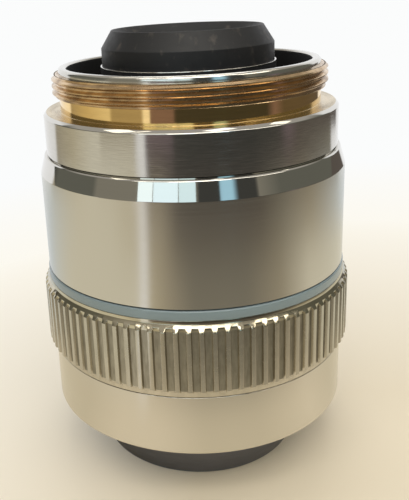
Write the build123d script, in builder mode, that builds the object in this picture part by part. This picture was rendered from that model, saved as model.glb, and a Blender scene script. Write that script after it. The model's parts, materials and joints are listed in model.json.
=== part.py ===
from build123d import *
import os
from math import cos, radians, sin

os.makedirs("parts", exist_ok=True)

# A brightfield and darkfield microscope objective. It stands on its nose: the origin is the
# centre of the foot and +Z runs up the optical axis to the mounting thread. Lengths are in mm.

# The outer stack, from the foot upwards
nose_height = 6.92
lower_barrel_height = 6.95
ring_gap = 0.1
ring_height = 10.0
sleeve_height = 13.55
seam_gap = 0.12
collar_height = 4.78
neck_height = 1.76
thread_length = 2.44
rim_height = 0.7

lower_barrel_z = nose_height
ring_z = lower_barrel_z + lower_barrel_height + ring_gap
sleeve_z = ring_z + ring_height + ring_gap
seam_z = sleeve_z + sleeve_height
collar_z = seam_z + seam_gap
shoulder_z = collar_z + collar_height
thread_z = shoulder_z + neck_height
rim_z = thread_z + thread_length
rim_top_z = rim_z + rim_height

# Clearances shared by all pieces
fit_clearance = 0.03
running_clearance = 0.05
cement = 0.03
overrun = 1.0

# The radii, built outwards from the bore of the lens tube through walls, gaps and steps
lens_tube_bore_r = 8.6
lens_tube_wall = 1.52
light_channel_width = 3.93
rim_wall = 0.99
neck_wall = 1.05
thread_wall = 1.95
spider_step = 0.4
joint_wall = 0.95
journal_step = 0.4
sleeve_seat_step = 0.6
seam_seat_step = 0.4
collar_step = 0.3
sleeve_wall = 1.55
lower_barrel_wall = 2.5
ring_wall = 2.1
band_rise = 0.1
lip_rise = 0.15
knurl_rise = 0.7

lens_tube_r = lens_tube_bore_r + lens_tube_wall
light_channel_r = lens_tube_r + light_channel_width
rim_r = light_channel_r + rim_wall
neck_r = light_channel_r + neck_wall
thread_r = light_channel_r + thread_wall
spider_bore_r = light_channel_r + spider_step
joint_thread_r = spider_bore_r + joint_wall
journal_r = joint_thread_r + journal_step
sleeve_seat_r = journal_r + sleeve_seat_step
seam_seat_r = sleeve_seat_r + seam_seat_step
collar_r = seam_seat_r + collar_step
sleeve_r = sleeve_seat_r + sleeve_wall
lower_barrel_r = joint_thread_r + lower_barrel_wall
ring_bore_r = journal_r + running_clearance
ring_rim_r = ring_bore_r + ring_wall
band_r = ring_rim_r + band_rise
lip_r = ring_rim_r + lip_rise
knurl_r = ring_rim_r + knurl_rise

# The correction movement: turning the ring by its range slides the lens carriage by its travel
correction_range = 45.0
carriage_travel = 0.5
cam_lead = carriage_travel * 360 / correction_range
pin_count = 3
pin_r = 0.75
pin_z = ring_z + ring_height / 2

# The mount barrel: thread, collar, the seat of the sleeve and the journal of the ring
joint_thread_length = 3.2
spider_depth = 14.42
collar_chamfer = 0.35
collar_bottom_chamfer = 0.12
rim_rounding = 0.33
barrel_end_z = ring_z - ring_gap - joint_thread_length
spider_step_z = rim_top_z - spider_depth

# The straight guide slots that keep the drive pins from turning, cut through barrel and tube
guide_clearance = 0.08
with BuildPart() as guide_slot:
    with BuildSketch(Plane.YZ.offset(lens_tube_bore_r - overrun)):
        with Locations((0, pin_z)):
            SlotCenterToCenter(2 * carriage_travel, 2 * (pin_r + guide_clearance), rotation=90)
    extrude(amount=journal_r - lens_tube_bore_r + 2 * overrun)

with BuildPart() as mount_barrel:
    with BuildSketch(Plane.XZ):
        with BuildLine():
            Polyline(
                (spider_bore_r, barrel_end_z),
                (joint_thread_r, barrel_end_z),
                (joint_thread_r, ring_z - ring_gap),
                (journal_r, ring_z - ring_gap),
                (journal_r, sleeve_z),
                (sleeve_seat_r, sleeve_z),
                (sleeve_seat_r, seam_z),
                (seam_seat_r, seam_z),
                (seam_seat_r, collar_z),
                (collar_r - collar_bottom_chamfer, collar_z),
                (collar_r, collar_z + collar_bottom_chamfer),
                (collar_r, shoulder_z - collar_chamfer),
                (collar_r - collar_chamfer, shoulder_z),
                (neck_r, shoulder_z),
                (neck_r, thread_z),
                (thread_r, thread_z),
                (thread_r, rim_z),
                (rim_r, rim_z),
                (rim_r, rim_top_z),
                (light_channel_r, rim_top_z),
                (light_channel_r, spider_step_z),
                (spider_bore_r, spider_step_z),
                close=True,
            )
        make_face()
    revolve(axis=Axis.Z)
    fillet(mount_barrel.edges().group_by(Axis.Z)[-1], rim_rounding)
    with PolarLocations(0, pin_count):
        add(guide_slot.part, mode=Mode.SUBTRACT)
mount_barrel.part.label = "mount_barrel"
export_step(mount_barrel.part, "parts/mount_barrel.step")

# The main sleeve slides up over the barrel, with a polished bevel below its narrow top edge
bevel_depth = 0.55
bevel_height = 1.92
bevel_edge = 0.12
sleeve_bottom_chamfer = 0.08
bevel_top_r = sleeve_r - bevel_depth
with BuildPart() as outer_sleeve:
    with BuildSketch(Plane.XZ):
        with BuildLine():
            Polyline(
                (sleeve_seat_r + fit_clearance, sleeve_z),
                (sleeve_r - sleeve_bottom_chamfer, sleeve_z),
                (sleeve_r, sleeve_z + sleeve_bottom_chamfer),
                (sleeve_r, seam_z - bevel_height - bevel_edge),
                (bevel_top_r, seam_z - bevel_edge),
                (bevel_top_r - bevel_edge, seam_z),
                (sleeve_seat_r + fit_clearance, seam_z),
                close=True,
            )
        make_face()
    revolve(axis=Axis.Z)
outer_sleeve.part.label = "outer_sleeve"
export_step(outer_sleeve.part, "parts/outer_sleeve.step")

# The knurled ring: straight ribs round the outside, three helical cam grooves in the bore
rib_count = 86
rib_pitch = 360 / rib_count
groove_top_share = 0.32
groove_bottom_share = 0.25
knurl_depth = 0.3
knurl_low_margin = 0.95
knurl_low_chamfer = 0.35
knurl_top_z_drop = 2.18
knurl_top_chamfer = 0.75
band_seat = 0.3
band_height = 1.04
cam_depth = 1.35
cam_end_margin = 4.0
band_z = ring_z + ring_height - band_height
knurl_low_z = ring_z + knurl_low_margin
knurl_top_z = ring_z + ring_height - knurl_top_z_drop
groove_corners = (
    (knurl_r, -groove_top_share),
    (knurl_r - knurl_depth, -groove_bottom_share),
    (knurl_r - knurl_depth, groove_bottom_share),
    (knurl_r, groove_top_share),
)
rib_outline = [
    (r * cos(radians((rib + share) * rib_pitch)), r * sin(radians((rib + share) * rib_pitch)))
    for rib in range(rib_count)
    for r, share in groove_corners
]

# One cam groove: a flat-sided cut swept along the helix that carries a drive pin
cam_half_angle = correction_range + cam_end_margin
cam_rise = cam_lead * 2 * cam_half_angle / 360
cam_outer_r = ring_bore_r + cam_depth
cam_mid_r = (cam_outer_r + ring_bore_r - overrun) / 2
with BuildPart() as cam_groove:
    with BuildLine() as cam_path:
        Helix(cam_lead, cam_rise, cam_mid_r, center=(0, 0, pin_z - cam_rise / 2))
    with BuildSketch(Plane(cam_path.line @ 0, x_dir=(1, 0, 0), z_dir=cam_path.line % 0)):
        Rectangle(cam_depth + overrun, 2 * (pin_r + running_clearance))
    sweep(path=cam_path.line, is_frenet=True)

with BuildPart() as correction_ring:
    with BuildSketch(Plane.XZ):
        with BuildLine():
            Polyline(
                (ring_bore_r, ring_z),
                (ring_rim_r, ring_z),
                (ring_rim_r, knurl_low_z - knurl_low_chamfer),
                (knurl_r, knurl_low_z),
                (knurl_r, knurl_top_z),
                (lip_r, knurl_top_z + knurl_top_chamfer),
                (lip_r, band_z),
                (band_r - band_seat, band_z),
                (band_r - band_seat, ring_z + ring_height),
                (ring_bore_r, ring_z + ring_height),
                close=True,
            )
        make_face()
    revolve(axis=Axis.Z)
    with BuildSketch(Plane.XY.offset(ring_z)):
        with BuildLine():
            Polyline(*rib_outline, close=True)
        make_face()
    extrude(amount=ring_height, mode=Mode.INTERSECT)
    with PolarLocations(0, pin_count, start_angle=-cam_half_angle):
        add(cam_groove.part, mode=Mode.SUBTRACT)
correction_ring.part.label = "correction_ring"
export_step(correction_ring.part, "parts/correction_ring.step")

# The colour band: enamel that fills the step round the top of the ring
band_chamfer = 0.1
with BuildPart() as colour_band:
    with BuildSketch(Plane.XZ):
        with BuildLine():
            Polyline(
                (band_r - band_seat, band_z),
                (band_r, band_z),
                (band_r, ring_z + ring_height - band_chamfer),
                (band_r - band_chamfer, ring_z + ring_height),
                (band_r - band_seat, ring_z + ring_height),
                close=True,
            )
        make_face()
    revolve(axis=Axis.Z)
colour_band.part.label = "colour_band"
export_step(colour_band.part, "parts/colour_band.step")

# Thin bearing washers above and below the ring, set back from its edge
washer_width = 1.2
washer_r = journal_r + washer_width
washer_thickness = ring_gap - running_clearance / 2
washers = (("lower_washer", ring_z - ring_gap), ("upper_washer", sleeve_z - washer_thickness))
for washer_name, washer_z in washers:
    with BuildPart() as washer:
        with BuildSketch(Plane.XY.offset(washer_z)):
            Circle(washer_r)
            Circle(journal_r + fit_clearance, mode=Mode.SUBTRACT)
        extrude(amount=washer_thickness)
    washer.part.label = washer_name
    export_step(washer.part, f"parts/{washer_name}.step")

# The lower barrel screws on to the mount barrel and keeps the ring in place
barrel_chamfer = 0.1
nose_joint_step = 1.4
nose_joint_r = spider_bore_r - nose_joint_step
with BuildPart() as lower_barrel:
    with BuildSketch(Plane.XZ):
        with BuildLine():
            Polyline(
                (nose_joint_r, lower_barrel_z),
                (lower_barrel_r - barrel_chamfer, lower_barrel_z),
                (lower_barrel_r, lower_barrel_z + barrel_chamfer),
                (lower_barrel_r, ring_z - ring_gap),
                (joint_thread_r + fit_clearance, ring_z - ring_gap),
                (joint_thread_r + fit_clearance, barrel_end_z),
                (nose_joint_r, barrel_end_z),
                close=True,
            )
        make_face()
    revolve(axis=Axis.Z)
lower_barrel.part.label = "lower_barrel"
export_step(lower_barrel.part, "parts/lower_barrel.step")

# The front end, outwards from the meniscus: the wall of its cell, then the tip of the inner cone
meniscus_r = 3.6
front_cell_wall = 1.37
cone_tip_wall = 1.4
front_cell_r = meniscus_r + fit_clearance + front_cell_wall
cone_tip_r = front_cell_r + cone_tip_wall

# The nose ring screws in from below and carries the ring of glass that lights the darkfield
condenser_width = 3.17
nose_foot_wall = 2.5
nose_top_wall = 1.15
nose_skirt_wall = 0.57
condenser_lip = 0.6
foot_lip_height = 0.8
foot_chamfer = 0.3
condenser_height = 2.2
condenser_dome = 0.9
condenser_clamp_height = 0.6
condenser_bore_r = cone_tip_r + fit_clearance
condenser_r = condenser_bore_r + condenser_width
nose_foot_r = condenser_r + nose_foot_wall
nose_top_r = nose_joint_r + nose_top_wall
nose_spigot_r = nose_joint_r - fit_clearance
nose_skirt_r = nose_spigot_r - nose_skirt_wall
nose_seat_z = foot_lip_height + condenser_height + condenser_clamp_height
with BuildPart() as nose_ring:
    with BuildSketch(Plane.XZ):
        with BuildLine():
            Polyline(
                (condenser_r - condenser_lip, 0),
                (nose_foot_r - foot_chamfer, 0),
                (nose_foot_r, foot_chamfer),
                (nose_top_r, lower_barrel_z),
                (nose_spigot_r, lower_barrel_z),
                (nose_spigot_r, barrel_end_z),
                (nose_skirt_r, barrel_end_z),
                (condenser_r + fit_clearance, nose_seat_z),
                (condenser_r + fit_clearance, foot_lip_height),
                (condenser_r - condenser_lip, foot_lip_height),
                close=True,
            )
        make_face()
    revolve(axis=Axis.Z)
nose_ring.part.label = "nose_ring"
export_step(nose_ring.part, "parts/nose_ring.step")

# The inner cone holds the front lens and fits the bore of the ring lens
cone_tip_z = 0.4
cone_tip_height = 4.0
cone_lip_height = 0.5
front_window_lip = 0.6
lens_tube_foot_z = 9.5
tube_socket_step = 0.3
cone_spigot_length = 2.0
cone_spigot_wall = 1.67
front_cell_height = 5.7
front_window_r = front_cell_r - front_window_lip
tube_socket_r = lens_tube_bore_r + tube_socket_step
cone_cavity_r = tube_socket_r - fit_clearance - cone_spigot_wall
front_cell_z = cone_tip_z + cone_lip_height
spigot_top_z = lens_tube_foot_z + cone_spigot_length
with BuildPart() as front_housing:
    with BuildSketch(Plane.XZ):
        with BuildLine():
            Polyline(
                (front_window_r, cone_tip_z),
                (cone_tip_r, cone_tip_z),
                (cone_tip_r, cone_tip_z + cone_tip_height),
                (lens_tube_r, lens_tube_foot_z),
                (tube_socket_r - fit_clearance, lens_tube_foot_z),
                (tube_socket_r - fit_clearance, spigot_top_z),
                (cone_cavity_r, spigot_top_z),
                (front_cell_r + fit_clearance, front_cell_z + front_cell_height),
                (front_cell_r + fit_clearance, front_cell_z),
                (front_window_r, front_cell_z),
                close=True,
            )
        make_face()
    revolve(axis=Axis.Z)
front_housing.part.label = "front_housing"
export_step(front_housing.part, "parts/front_housing.step")

# The ring lens of the darkfield condenser: domed on top, with a flat step for its ring
clamp_width = 0.35
condenser_dome_r = condenser_r - clamp_width
condenser_edge_z = foot_lip_height + condenser_height - condenser_dome
with BuildPart() as ring_condenser:
    with BuildSketch(Plane.XZ):
        with BuildLine():
            Polyline(
                (condenser_bore_r, condenser_edge_z),
                (condenser_bore_r, foot_lip_height),
                (condenser_r, foot_lip_height),
                (condenser_r, condenser_edge_z),
                (condenser_dome_r, condenser_edge_z),
            )
            ThreePointArc(
                (condenser_dome_r, condenser_edge_z),
                ((condenser_dome_r + condenser_bore_r) / 2, condenser_edge_z + condenser_dome),
                (condenser_bore_r, condenser_edge_z),
            )
        make_face()
    revolve(axis=Axis.Z)
ring_condenser.part.label = "ring_condenser"
export_step(ring_condenser.part, "parts/ring_condenser.step")

# The lens tube: a socket for the cone below, the carriage bore, a step, and the rear cells.
# A flange on its outside stands on the spider's hub.
tube_flange_wall = 0.9
tube_flange_height = 1.2
tube_top_drop = 0.2
carriage_height = 6.0
carriage_clearance = 0.2
tube_step_height = 1.0
tube_step_width = 1.2
tube_step_r = lens_tube_bore_r - tube_step_width
tube_top_z = rim_top_z - tube_top_drop
carriage_z = pin_z - carriage_height / 2
socket_top_z = carriage_z - carriage_travel - 2 * carriage_clearance
tube_step_z = carriage_z + carriage_height + carriage_travel + carriage_clearance
rear_stack_z = tube_step_z + tube_step_height
with BuildPart() as lens_tube:
    with BuildSketch(Plane.XZ):
        with BuildLine():
            Polyline(
                (tube_socket_r, lens_tube_foot_z),
                (lens_tube_r, lens_tube_foot_z),
                (lens_tube_r, spider_step_z),
                (lens_tube_r + tube_flange_wall, spider_step_z),
                (lens_tube_r + tube_flange_wall, spider_step_z + tube_flange_height),
                (lens_tube_r, spider_step_z + tube_flange_height),
                (lens_tube_r, tube_top_z),
                (lens_tube_bore_r, tube_top_z),
                (lens_tube_bore_r, rear_stack_z),
                (tube_step_r, rear_stack_z),
                (tube_step_r, tube_step_z),
                (lens_tube_bore_r, tube_step_z),
                (lens_tube_bore_r, socket_top_z),
                (tube_socket_r, socket_top_z),
                close=True,
            )
        make_face()
    revolve(axis=Axis.Z)
    with PolarLocations(0, pin_count):
        add(guide_slot.part, mode=Mode.SUBTRACT)
lens_tube.part.label = "lens_tube"
export_step(lens_tube.part, "parts/lens_tube.step")

# The spider: three thin webs carry the lens tube across the light channel
spider_height = 5.0
spider_hub_wall = 0.9
spider_rim_wall = 0.9
web_count = 3
web_width = 1.2
web_start_angle = 60
spider_z = spider_step_z - spider_height
spider_r = spider_bore_r - fit_clearance
hub_bore_r = lens_tube_r + fit_clearance
with BuildPart() as spider:
    with BuildSketch(Plane.XY.offset(spider_z)):
        Circle(spider_r)
        Circle(spider_r - spider_rim_wall, mode=Mode.SUBTRACT)
        with PolarLocations((spider_r + hub_bore_r) / 2, web_count, start_angle=web_start_angle):
            Rectangle(spider_r - hub_bore_r - spider_rim_wall, web_width)
        Circle(hub_bore_r + spider_hub_wall)
        Circle(hub_bore_r, mode=Mode.SUBTRACT)
    extrude(amount=spider_height)
spider.part.label = "spider"
export_step(spider.part, "parts/spider.step")


def threaded_ring(name, outer_r, inner_r, bottom_z, height, notch_z):
    """A retaining ring with two notches for its key, in the face that starts at notch_z."""
    with BuildPart() as ring:
        with BuildSketch(Plane.XY.offset(bottom_z)):
            Circle(outer_r)
            Circle(inner_r, mode=Mode.SUBTRACT)
        extrude(amount=height)
        with BuildSketch(Plane.XY.offset(notch_z)):
            Rectangle(2 * (outer_r + overrun), notch_width)
        extrude(amount=notch_depth, mode=Mode.SUBTRACT)
    ring.part.label = name
    export_step(ring.part, f"parts/{name}.step")


# Slotted rings keep the spider, the lens tube and the ring lens in their places
notch_width = 1.5
notch_depth = 0.5
spider_ring_height = 1.5
ring_low_z = spider_z - spider_ring_height
threaded_ring(
    "spider_ring", spider_r, spider_r - spider_rim_wall, ring_low_z, spider_ring_height, ring_low_z
)
threaded_ring(
    "tube_nut", hub_bore_r + spider_hub_wall, hub_bore_r, ring_low_z, spider_ring_height, ring_low_z
)
threaded_ring(
    "condenser_ring",
    condenser_r,
    condenser_r - clamp_width,
    condenser_edge_z,
    nose_seat_z - condenser_edge_z,
    nose_seat_z - notch_depth,
)


def lens(name, radius, edge_z, edge, bottom_sag, top_sag):
    """A turned lens whose lower edge lies at edge_z. A positive sag bulges outwards."""
    with BuildPart() as glass:
        with BuildSketch(Plane.XZ):
            with BuildLine():
                low, high = edge_z - bottom_sag, edge_z + edge + top_sag
                if bottom_sag:
                    TangentArc((0, low), (radius, edge_z), tangent=(1, 0))
                else:
                    Line((0, low), (radius, edge_z))
                Line((radius, edge_z), (radius, edge_z + edge))
                if top_sag:
                    TangentArc((0, high), (radius, edge_z + edge), tangent=(1, 0))
                else:
                    Line((0, high), (radius, edge_z + edge))
                Line((0, low), (0, high))
            make_face()
        revolve(axis=Axis.Z)
    glass.part.label = name
    export_step(glass.part, f"parts/{name}.step")
    return edge_z + edge + cement


def cell(outer_r, bottom_z, height, lens_r, lip_width, lip_height):
    """A turned lens cell. Its lower lip carries the edge of the lens."""
    with BuildPart() as ring:
        with BuildSketch(Plane.XZ):
            with BuildLine():
                Polyline(
                    (lens_r - lip_width, bottom_z),
                    (outer_r, bottom_z),
                    (outer_r, bottom_z + height),
                    (lens_r + fit_clearance, bottom_z + height),
                    (lens_r + fit_clearance, bottom_z + lip_height),
                    (lens_r - lip_width, bottom_z + lip_height),
                    close=True,
                )
            make_face()
        revolve(axis=Axis.Z)
    return ring.part


# The front group: a deep front lens and a meniscus above it, in one stepped cell
front_lens_r = 2.3
front_lens_edge = 0.7
front_lens_sag = 1.9
front_lip_width = 0.4
front_lip_height = 0.4
meniscus_seat = 3.0
meniscus_edge = 1.6
meniscus_hollow = 0.7
meniscus_crown = 1.1
meniscus_z = front_cell_z + meniscus_seat
front_cell_blank = cell(
    front_cell_r, front_cell_z, front_cell_height, front_lens_r, front_lip_width, front_lip_height
)
with BuildPart() as front_cell:
    add(front_cell_blank)
    with BuildSketch(Plane.XY.offset(meniscus_z)):
        Circle(meniscus_r + fit_clearance)
    extrude(amount=front_cell_height, mode=Mode.SUBTRACT)
front_cell.part.label = "front_cell"
export_step(front_cell.part, "parts/front_cell.step")
lens("front_lens", front_lens_r, front_cell_z + front_lip_height, front_lens_edge, 0, front_lens_sag)
lens("meniscus_lens", meniscus_r, meniscus_z, meniscus_edge, -meniscus_hollow, meniscus_crown)

# The fixed doublet, between the cone's spigot and the end of the tube's socket
lip_width = 0.5
lip_height = 0.6
doublet_cell_wall = 3.44
fixed_doublet_r = tube_socket_r - fit_clearance - doublet_cell_wall - fit_clearance
fixed_flint_edge = 1.6
fixed_crown_edge = 0.5
fixed_bond_sag = 0.9
fixed_crown_sag = 0.5
doublet_cell_height = socket_top_z - spigot_top_z
doublet_cell_part = cell(
    tube_socket_r - fit_clearance, spigot_top_z, doublet_cell_height, fixed_doublet_r, lip_width, lip_height
)
doublet_cell_part.label = "doublet_cell"
export_step(doublet_cell_part, "parts/doublet_cell.step")
seat_z = spigot_top_z + lip_height
bond_z = lens("fixed_flint", fixed_doublet_r, seat_z, fixed_flint_edge, 0, -fixed_bond_sag)
lens("fixed_crown", fixed_doublet_r, bond_z, fixed_crown_edge, fixed_bond_sag, fixed_crown_sag)

# The drive pins reach from the carriage through both slots into the cam grooves
pin_embed = 1.35
pin_end_clearance = 0.15
carriage_r = lens_tube_bore_r - running_clearance
pin_start_r = carriage_r - pin_embed
pin_length = cam_outer_r - pin_end_clearance - pin_start_r
with BuildPart() as drive_pin:
    with BuildSketch(Plane.YZ.offset(pin_start_r)):
        with Locations((0, pin_z)):
            Circle(pin_r)
    extrude(amount=pin_length)
with BuildPart() as drive_pins:
    with PolarLocations(0, pin_count):
        add(drive_pin.part)
drive_pins.part.label = "drive_pins"
export_step(drive_pins.part, "parts/drive_pins.step")

# The carriage slides in the lens tube and holds the correction doublet
carriage_wall = 2.92
moving_r = carriage_r - carriage_wall - fit_clearance
moving_flint_edge = 1.9
moving_crown_edge = 0.6
moving_hollow = 0.4
moving_bond_sag = 0.8
moving_crown_sag = 0.8
carriage_lip_height = 0.8
with BuildPart() as lens_carriage:
    add(cell(carriage_r, carriage_z, carriage_height, moving_r, lip_width, carriage_lip_height))
    with BuildSketch(Plane.YZ.offset(pin_start_r)):
        with Locations((0, pin_z)):
            Circle(pin_r + fit_clearance)
    pin_hole = extrude(amount=pin_length, mode=Mode.PRIVATE)
    with PolarLocations(0, pin_count):
        add(pin_hole, mode=Mode.SUBTRACT)
lens_carriage.part.label = "lens_carriage"
export_step(lens_carriage.part, "parts/lens_carriage.step")
seat_z = carriage_z + carriage_lip_height
bond_z = lens("moving_flint", moving_r, seat_z, moving_flint_edge, -moving_hollow, -moving_bond_sag)
lens("moving_crown", moving_r, bond_z, moving_crown_edge, moving_bond_sag, moving_crown_sag)

# The cemented triplet stands on the tube's step
rear_cell_r = lens_tube_bore_r - fit_clearance
triplet_cell_height = 6.0
triplet_cell_wall = 2.54
triplet_r = rear_cell_r - triplet_cell_wall - fit_clearance
triplet_flint_edge = 1.6
triplet_crown_edge = 1.0
triplet_sag = 0.8
triplet_cell_part = cell(rear_cell_r, rear_stack_z, triplet_cell_height, triplet_r, lip_width, lip_height)
triplet_cell_part.label = "triplet_cell"
export_step(triplet_cell_part, "parts/triplet_cell.step")
seat_z = rear_stack_z + lip_height
bond_z = lens("triplet_lower_flint", triplet_r, seat_z, triplet_flint_edge, 0, -triplet_sag)
bond_z = lens("triplet_crown", triplet_r, bond_z, triplet_crown_edge, triplet_sag, triplet_sag)
lens("triplet_upper_flint", triplet_r, bond_z, triplet_flint_edge, -triplet_sag, 0)

# The rear doublet, kept at its distance by a spacer tube and held by a slotted ring
rear_cell_height = 4.5
stop_ring_height = 1.0
stop_ring_wall = 2.0
rear_baffle_spigot = 2.0
spacer_wall = 0.9
rear_cell_wall = 2.34
rear_lens_r = rear_cell_r - rear_cell_wall - fit_clearance
rear_flint_edge = 1.5
rear_crown_edge = 0.8
rear_bond_sag = 0.6
rear_crown_sag = 0.6
spacer_z = rear_stack_z + triplet_cell_height
stop_ring_z = tube_top_z - rear_baffle_spigot - stop_ring_height
rear_cell_z = stop_ring_z - rear_cell_height
with BuildPart() as spacer_tube:
    with BuildSketch(Plane.XY.offset(spacer_z)):
        Circle(rear_cell_r)
        Circle(rear_cell_r - spacer_wall, mode=Mode.SUBTRACT)
    extrude(amount=rear_cell_z - spacer_z)
spacer_tube.part.label = "spacer_tube"
export_step(spacer_tube.part, "parts/spacer_tube.step")
rear_cell_part = cell(rear_cell_r, rear_cell_z, rear_cell_height, rear_lens_r, lip_width, lip_height)
rear_cell_part.label = "rear_cell"
export_step(rear_cell_part, "parts/rear_cell.step")
seat_z = rear_cell_z + lip_height
bond_z = lens("rear_flint", rear_lens_r, seat_z, rear_flint_edge, 0, -rear_bond_sag)
lens("rear_crown", rear_lens_r, bond_z, rear_crown_edge, rear_bond_sag, rear_crown_sag)
threaded_ring(
    "stop_ring",
    rear_cell_r,
    rear_cell_r - stop_ring_wall,
    stop_ring_z,
    stop_ring_height,
    stop_ring_z + stop_ring_height - notch_depth,
)

# The black rear baffle stands proud of the thread. Its cone ends in a thin edge round a
# funnel that leads down to the rear lens.
baffle_set_back = 0.2
baffle_height = 2.0
baffle_cone_depth = 1.23
baffle_cone_height = 1.95
baffle_edge = 0.14
baffle_wall = 1.37
funnel_depth = 1.6
baffle_r = lens_tube_r - baffle_set_back
baffle_cone_r = baffle_r - baffle_cone_depth
baffle_bore_r = rear_cell_r - baffle_wall
baffle_foot_z = tube_top_z - rear_baffle_spigot
baffle_top_z = tube_top_z + baffle_height + baffle_cone_height
with BuildPart() as rear_baffle:
    with BuildSketch(Plane.XZ):
        with BuildLine():
            Polyline(
                (baffle_bore_r, baffle_foot_z),
                (rear_cell_r, baffle_foot_z),
                (rear_cell_r, tube_top_z),
                (baffle_r, tube_top_z),
                (baffle_r, tube_top_z + baffle_height),
                (baffle_cone_r, baffle_top_z),
                (baffle_cone_r - baffle_edge, baffle_top_z),
                (baffle_bore_r, baffle_top_z - funnel_depth),
                close=True,
            )
        make_face()
    revolve(axis=Axis.Z)
rear_baffle.part.label = "rear_baffle"
export_step(rear_baffle.part, "parts/rear_baffle.step")
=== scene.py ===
import json
from math import asin, cos, hypot, pi, radians, sin, tan

import bmesh
import bpy
from mathutils import Matrix, Vector


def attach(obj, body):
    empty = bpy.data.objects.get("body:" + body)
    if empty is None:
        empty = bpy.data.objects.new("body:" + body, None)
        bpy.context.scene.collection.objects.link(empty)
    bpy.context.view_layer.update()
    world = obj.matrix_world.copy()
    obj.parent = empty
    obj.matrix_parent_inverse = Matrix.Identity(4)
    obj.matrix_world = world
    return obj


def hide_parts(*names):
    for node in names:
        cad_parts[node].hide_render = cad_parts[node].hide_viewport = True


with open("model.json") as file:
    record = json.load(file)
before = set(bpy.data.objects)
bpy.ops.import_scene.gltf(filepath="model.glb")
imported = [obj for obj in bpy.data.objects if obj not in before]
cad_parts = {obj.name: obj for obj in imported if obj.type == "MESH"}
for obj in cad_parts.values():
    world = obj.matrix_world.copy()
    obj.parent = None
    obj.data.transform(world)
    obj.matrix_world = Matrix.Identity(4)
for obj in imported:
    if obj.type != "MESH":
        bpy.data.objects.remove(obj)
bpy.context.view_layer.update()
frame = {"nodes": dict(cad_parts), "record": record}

# The dressed microscope objective. Lengths are in millimetres until they reach Blender, and the
# levels and radii are those of the part's source.
MM = 0.001
TURNING_STEPS = 256
SHARP_ANGLE = radians(32)
BROKEN_ANGLE = radians(25)
EDGE_BREAK = 0.06
FINE_BREAK = 0.04
EDGE_CHAMFER = 0.1
MERGE_DISTANCE = 0.001

# Levels
LOWER_BARREL_Z = 6.92
BARREL_END_Z = 10.67
RING_Z = 13.97
RING_TOP_Z = 23.97
SLEEVE_Z = 24.07
CHANNEL_FLOOR_Z = 33.0
BEVEL_Z = 35.58
SEAM_Z = 37.62
COLLAR_Z = 37.74
SHOULDER_Z = 42.52
THREAD_Z = 44.28
RIM_Z = 46.72
RIM_TOP_Z = 47.42
RING_GAP = 0.1

# Radii
CHANNEL_R = 14.05
SPIDER_BORE_R = 14.45
JOINT_R = 15.4
JOURNAL_R = 15.8
SLEEVE_SEAT_R = 16.4
SEAM_SEAT_R = 16.8
COLLAR_R = 17.1
NECK_R = 15.1
THREAD_ROOT_R = 15.54
THREAD_R = 15.87
RIM_R = 15.04
SLEEVE_R = 17.95
LOWER_BARREL_R = 17.9
NOSE_SPIGOT_R = 13.02
LENS_TUBE_R = 10.12
FIT = 0.03


def linear(hex_colour):
    """Turns an sRGB hex colour to the linear RGBA that the shaders take."""
    shares = [int(hex_colour[start : start + 2], 16) / 255 for start in (1, 3, 5)]
    return [s / 12.92 if s <= 0.04045 else ((s + 0.055) / 1.055) ** 2.4 for s in shares] + [1.0]


def add(tree, kind, settings=None, sockets=None):
    """Adds a shader node, sets its properties, and sets or links its input sockets."""
    made = tree.nodes.new("ShaderNode" + kind)
    for name, value in (settings or {}).items():
        setattr(made, name, value)
    for name, value in (sockets or {}).items():
        if isinstance(value, bpy.types.NodeSocket):
            tree.links.new(value, made.inputs[name])
        else:
            made.inputs[name].default_value = value
    return made


# For a node that mixes two colours: its sockets 6 and 7 take them, and its output 2 gives the mix
OF_COLOURS = {"data_type": "RGBA"}


def blank_finish(name, sockets):
    """A new material, its node tree and its shader with the given sockets set."""
    material = bpy.data.materials.new(name)
    material.use_nodes = True
    shader = material.node_tree.nodes["Principled BSDF"]
    for socket, value in sockets.items():
        shader.inputs[socket].default_value = value
    return material, material.node_tree, shader


def turning_coordinates(tree, across_mm, around_mm):
    """Object coordinates in which a noise makes rings round the axis, on walls and faces alike."""
    place = add(tree, "TexCoord").outputs["Object"]
    split = add(tree, "SeparateXYZ", sockets={0: place})
    flat = add(tree, "CombineXYZ", sockets={0: split.outputs[0], 1: split.outputs[1]})
    radius = add(tree, "VectorMath", {"operation": "LENGTH"}, {0: flat.outputs[0]})
    level = add(
        tree, "Math", {"operation": "ADD"}, {0: radius.outputs["Value"], 1: split.outputs[2]}
    )
    joined = add(
        tree, "CombineXYZ", sockets={0: split.outputs[0], 1: split.outputs[1], 2: level.outputs[0]}
    )
    scale = (1 / (around_mm * MM), 1 / (around_mm * MM), 1 / (across_mm * MM))
    return add(
        tree, "VectorMath", {"operation": "MULTIPLY"}, {0: joined.outputs[0], 1: scale}
    ).outputs[0]


# The part of a noise's values that a finish spreads over its range, and how far a roughness or a
# black tint swings with it
NOISE_LOW, NOISE_HIGH = 0.3, 0.7
SWING = 0.15
# The depth of turning marks, the noise values between which a film of soil comes in, what the
# film adds to the roughness, and its usual tone
MARK_DEPTH = 0.02
FILM_LOW, FILM_HIGH = 0.36, 0.68
FILM_ROUGHNESS = 0.3
NICKEL_SOIL = "#3f3a2c"


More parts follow.
